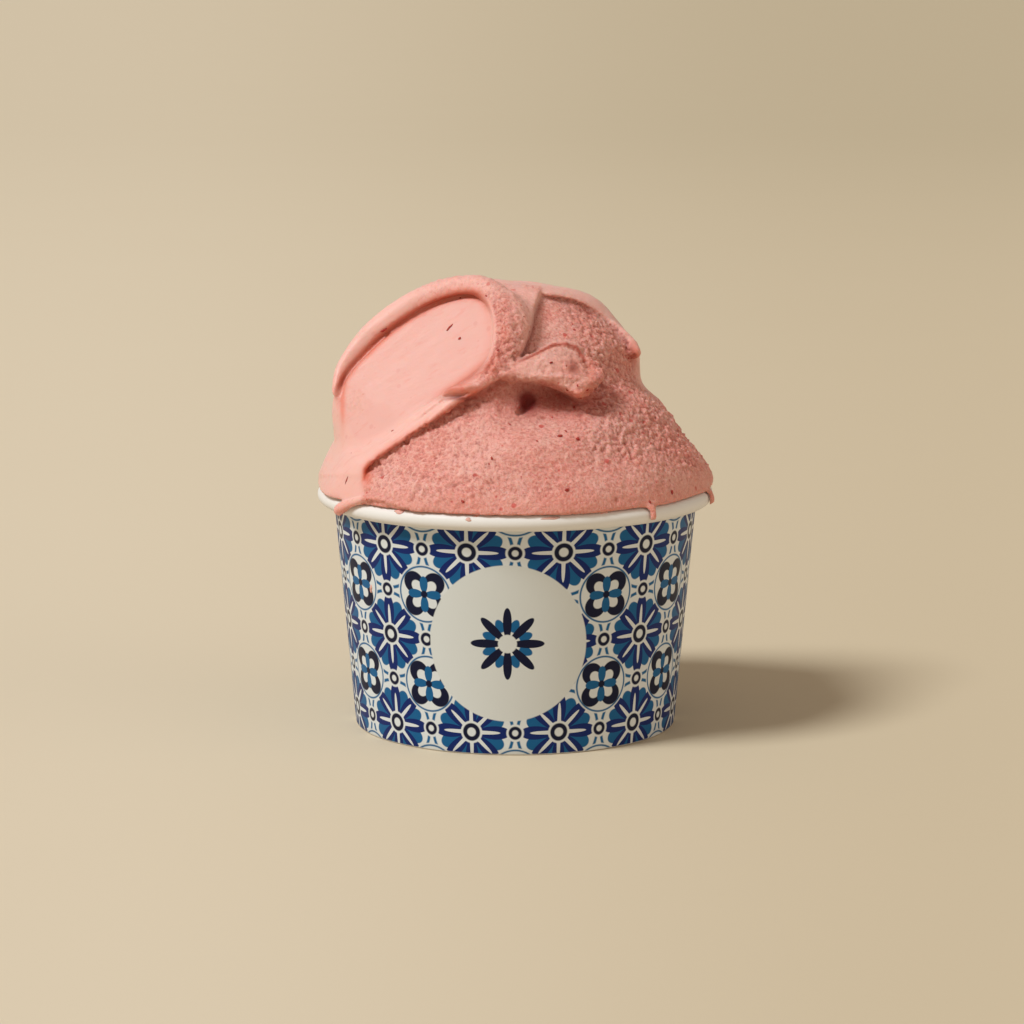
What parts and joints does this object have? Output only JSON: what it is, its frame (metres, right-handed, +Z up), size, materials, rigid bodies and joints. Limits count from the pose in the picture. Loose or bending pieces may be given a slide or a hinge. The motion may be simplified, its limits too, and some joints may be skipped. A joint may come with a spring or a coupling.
{
  "type": "cup of gelato",
  "caption": "Strawberry gelato heaped high and worked with a flat spatula in a small round paper cup with a rolled rim and a recessed foot.",
  "frame": {"origin": "on the cup's axis, in the plane that its foot stands on", "axes": "+Z up along the cup's axis, -Y towards the serving side that shows the spatula's strokes, +X to the right of one who faces that side"},
  "size_m": [0.0951, 0.0951, 0.1088],
  "materials": {
    "printed_paperboard": "white coated paperboard with a blue pattern printed on the outside, satin",
    "plain_paperboard": "white coated paperboard, unprinted",
    "strawberry_gelato": "frozen strawberry gelato, smooth and softly shining where the spatula passed, rough and porous elsewhere"
  },
  "bodies": {
    "root": {"cup_wall": "printed_paperboard", "cup_base": "plain_paperboard", "gelato": "strawberry_gelato"}
  },
  "joints": []
}
